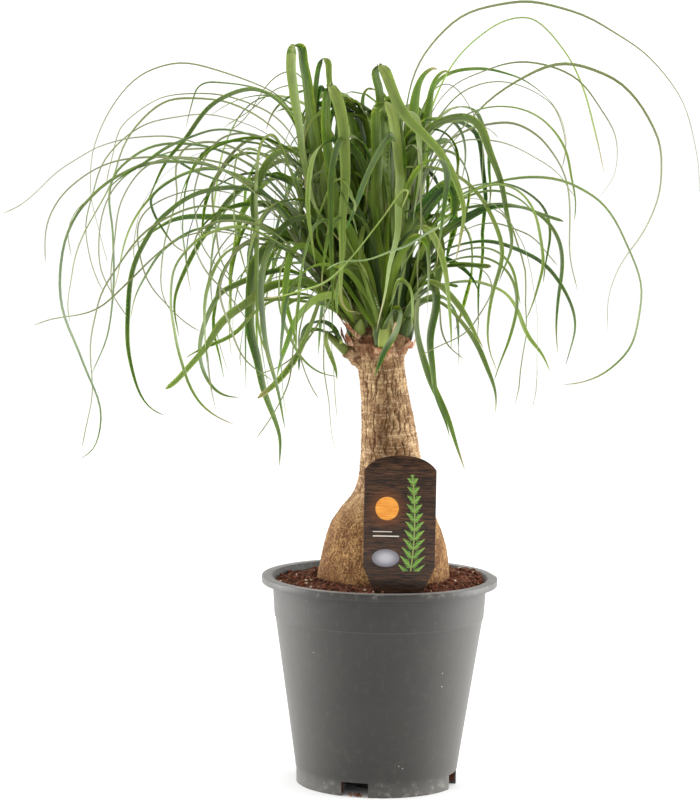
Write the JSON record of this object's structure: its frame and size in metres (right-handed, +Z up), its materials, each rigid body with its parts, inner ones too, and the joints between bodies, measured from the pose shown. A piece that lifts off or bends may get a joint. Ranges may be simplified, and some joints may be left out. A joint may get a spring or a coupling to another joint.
{
  "type": "potted ponytail palm",
  "caption": "Young ponytail palm with a swollen trunk and long arching leaves, in a grey tapered nursery pot filled with soil, with a plain picture label.",
  "frame": {"origin": "centre of the pot's underside, on the flat disc in the middle of its base", "axes": "+Z up the plant, -Y towards the side with the label, +X to the right seen from there"},
  "size_m": [0.5015, 0.4044, 0.565],
  "materials": {
    "pot_plastic": "grey injection-moulded polypropylene, satin with light scuffs",
    "soil": "reddish-brown coir and peat crumbs with a few white grains, fully matt",
    "bark": "tan corky bark with fine brown cracks, matt",
    "leaf": "living green blades with fine lengthwise veins, satin",
    "label_print": "printed plastic card, dark brown plank pattern with a plain leaf motif, semi-gloss"
  },
  "bodies": {
    "root": {"pot": "pot_plastic", "soil": "soil", "caudex_trunk": "bark", "shoot_front": "leaf", "shoot_right": "leaf", "shoot_back_right": "leaf", "shoot_back_left": "leaf", "shoot_left": "leaf", "shoot_low_left": "leaf", "plant_label": "label_print"}
  },
  "joints": []
}
